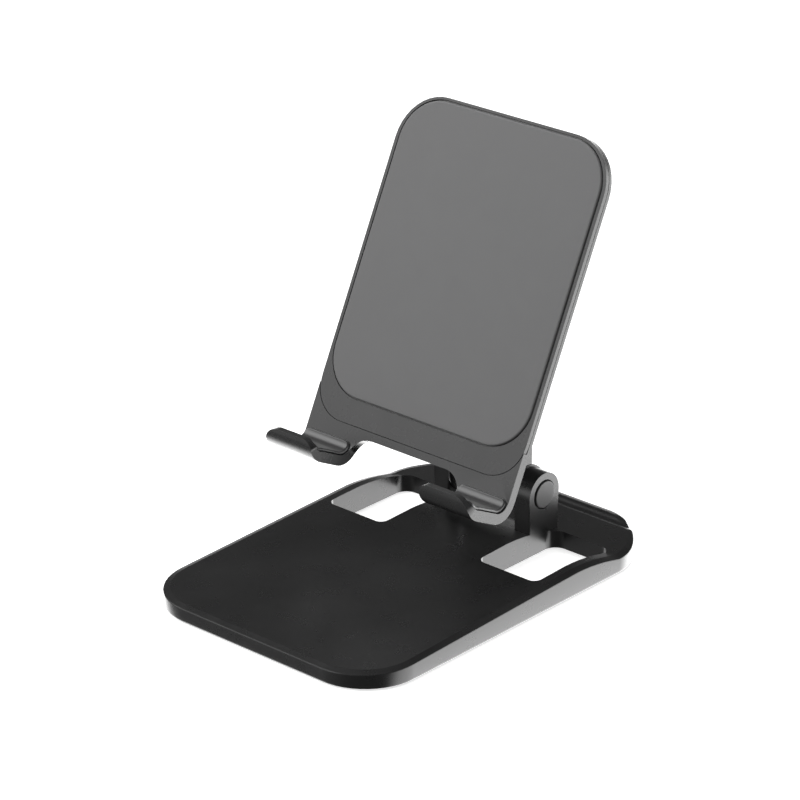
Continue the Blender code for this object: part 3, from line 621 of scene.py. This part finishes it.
def add_stud(bm, x, y, bottom):
    """A low dome that points down, with its root inside the mat."""
    rings = []
    for radius_share, height_share in STUD_PROFILE:
        ring = []
        for i in range(STUD_SIDES):
            angle = 2 * math.pi * i / STUD_SIDES
            across = STUD_RADIUS * radius_share
            z = bottom + STUD_HEIGHT * height_share
            ring.append(bm.verts.new((x + across * math.cos(angle), y + across * math.sin(angle), z)))
        rings.append(ring)
    bm.faces.new(rings[0])
    for upper, lower in zip(rings, rings[1:]):
        for i in range(STUD_SIDES):
            j = (i + 1) % STUD_SIDES
            bm.faces.new((upper[i], upper[j], lower[j], lower[i]))
    tip = bm.verts.new((x, y, bottom))
    for i in range(STUD_SIDES):
        bm.faces.new((rings[-1][i], rings[-1][(i + 1) % STUD_SIDES], tip))


# ---------------------------------------------------------------- screws


def build_screws(finishes):
    """The small screws again, with a cross recess in each head."""
    spaces = {"plate": plate_space(), "arm": Matrix.Identity(4)}
    for body, nodes in frame["record"]["behaviour"]["bodies"].items():
        for node in nodes:
            if "_screw_" in node:
                new_screw(node, body, recess_cutter(node, spaces[body]), finishes["steel"])


def recess_cutter(node, space):
    """Two crossed bars that narrow inwards, set into the screw's head from the frame's +Y side."""
    points = local_points(node, space)
    low = Vector([min(p[i] for p in points) for i in range(3)])
    high = Vector([max(p[i] for p in points) for i in range(3)])
    centre = (low + high) / 2
    bm = bmesh.new()
    for across in (0, 2):
        size = Vector((RECESS_WIDTH, 2 * RECESS_DEPTH, RECESS_WIDTH))
        size[across] = RECESS_LENGTH
        for v in bmesh.ops.create_cube(bm, size=1.0)["verts"]:
            taper = 1.0 if v.co.y > 0 else RECESS_TAPER
            v.co = Vector((v.co.x * size.x * taper, v.co.y * size.y, v.co.z * size.z * taper))
            v.co += Vector((centre.x, high.y, centre.z))
    bmesh.ops.transform(bm, matrix=space, verts=bm.verts)
    mesh = bpy.data.meshes.new("recess_cutter")
    bm.to_mesh(mesh)
    bm.free()
    cutter = bpy.data.objects.new("recess_cutter", mesh)
    bpy.context.scene.collection.objects.link(cutter)
    return cutter


def new_screw(node, body, cutter, finish):
    """A copy of a screw with the recess cut and its flat facets joined."""
    bm = joined_facets(node)
    bmesh.ops.dissolve_limit(bm, angle_limit=FLAT_ANGLE, verts=bm.verts, edges=bm.edges)
    piece = new_piece(f"{node}_recessed", bm, finish, "steel", body, node)
    cut = piece.modifiers.new("Recess", "BOOLEAN")
    cut.object = cutter
    cut.use_self = True
    bpy.context.view_layer.update()
    shaped = piece.evaluated_get(bpy.context.evaluated_depsgraph_get())
    result = bpy.data.meshes.new_from_object(shaped)
    piece.modifiers.clear()
    piece.data = result
    bpy.data.objects.remove(cutter)
    result.shade_smooth()
    result.set_sharp_from_angle(angle=SCREW_SHARP_ANGLE)


# ---------------------------------------------------------------- studio


def direction(azimuth, elevation):
    """A unit vector: azimuth from +Y towards +X, elevation above the table, in degrees."""
    a, e = math.radians(azimuth), math.radians(elevation)
    return Vector((math.sin(a) * math.cos(e), math.cos(a) * math.cos(e), math.sin(e)))


def build_world():
    """White for the camera, an even ambient light, and soft lights that glossy surfaces reflect."""
    world = bpy.data.worlds.new("studio")
    bpy.context.scene.world = world
    world.use_nodes = True
    s = Shader(world.node_tree)
    look = s.node("ShaderNodeTexCoord").outputs["Generated"]
    total = GLOSS_BASE
    for towards, full, end, strength in GLOSS_LIGHTS:
        cosine = s.dot(look, Vector(towards).normalized())
        lobe = s.ramp(cosine, math.cos(math.radians(end)), math.cos(math.radians(full)), 0.0, strength)
        total = s.math("ADD", total, lobe)
    path = s.node("ShaderNodeLightPath")
    glossy = path.outputs["Is Glossy Ray"]
    camera = path.outputs["Is Camera Ray"]
    even = s.math("MULTIPLY", s.math("SUBTRACT", 1.0, glossy), AMBIENT)
    level = s.math("ADD", s.math("MULTIPLY", total, glossy), even)
    unseen = s.math("MULTIPLY", level, s.math("SUBTRACT", 1.0, camera))
    level = s.math("ADD", unseen, s.math("MULTIPLY", camera, BACKDROP))
    background = s.node("ShaderNodeBackground", {"Color": (1, 1, 1, 1), "Strength": level})
    s.node("ShaderNodeOutputWorld", {"Surface": background.outputs[0]})


def add_light(name, place, size, power):
    """A square area light aimed at the stand's middle; reflections come from the world instead."""
    light = bpy.data.lights.new(name, "AREA")
    light.size = size
    light.energy = power
    lamp = bpy.data.objects.new(name, light)
    bpy.context.scene.collection.objects.link(lamp)
    lamp.location = place
    aim = LIGHT_AIM - Vector(place)
    lamp.rotation_euler = aim.to_track_quat("-Z", "Y").to_euler()
    lamp.visible_glossy = False


def build_floor():
    """A plain pale floor, which the underside's view looks through."""
    bm = bmesh.new()
    bmesh.ops.create_grid(bm, x_segments=1, y_segments=1, size=FLOOR_HALF_SIDE)
    mesh = bpy.data.meshes.new("floor")
    bm.to_mesh(mesh)
    bm.free()
    floor = bpy.data.objects.new("floor", mesh)
    bpy.context.scene.collection.objects.link(floor)
    floor.location.z = -FLOOR_DROP
    made, s = new_material("floor")
    surface = s.node("ShaderNodeBsdfDiffuse", {"Color": (FLOOR_TONE, FLOOR_TONE, FLOOR_TONE, 1.0)})
    glow = s.node("ShaderNodeEmission", {"Color": (1, 1, 1, 1), "Strength": FLOOR_GLOW})
    both = s.node("ShaderNodeAddShader")
    s.put(both.inputs[0], surface.outputs[0])
    s.put(both.inputs[1], glow.outputs[0])
    seen_from_below = s.node("ShaderNodeNewGeometry").outputs["Backfacing"]
    open_below = s.node("ShaderNodeMixShader", {"Fac": seen_from_below})
    s.put(open_below.inputs[1], both.outputs[0])
    s.put(open_below.inputs[2], s.node("ShaderNodeBsdfTransparent").outputs[0])
    s.node("ShaderNodeOutputMaterial", {"Surface": open_below.outputs[0]})
    mesh.materials.append(made)
    floor.visible_glossy = False
    floor.visible_diffuse = False


def build_camera():
    """The camera, aimed at its target."""
    camera = bpy.data.cameras.new("camera")
    camera.lens = LENS
    camera.sensor_width = SENSOR
    camera.clip_start = CLIP_START
    holder = bpy.data.objects.new("camera", camera)
    bpy.context.scene.collection.objects.link(holder)
    back = direction(180 - AZIMUTH, ELEVATION)
    holder.location = CAMERA_TARGET + back * CAMERA_DISTANCE
    holder.rotation_euler = (-back).to_track_quat("-Z", "Y").to_euler()
    bpy.context.scene.camera = holder


def build_studio():
    """World, lights, floor, camera and a plain view transform."""
    build_world()
    for light in AREA_LIGHTS:
        add_light(*light)
    build_floor()
    build_camera()
    bpy.context.scene.view_settings.view_transform = "Standard"


finishes = make_finishes()
dress_nodes(finishes)
build_face_pad(finishes)
for side in ("left", "right"):
    build_hook_lining(side, finishes)
build_mat(finishes)
build_screws(finishes)
build_studio()
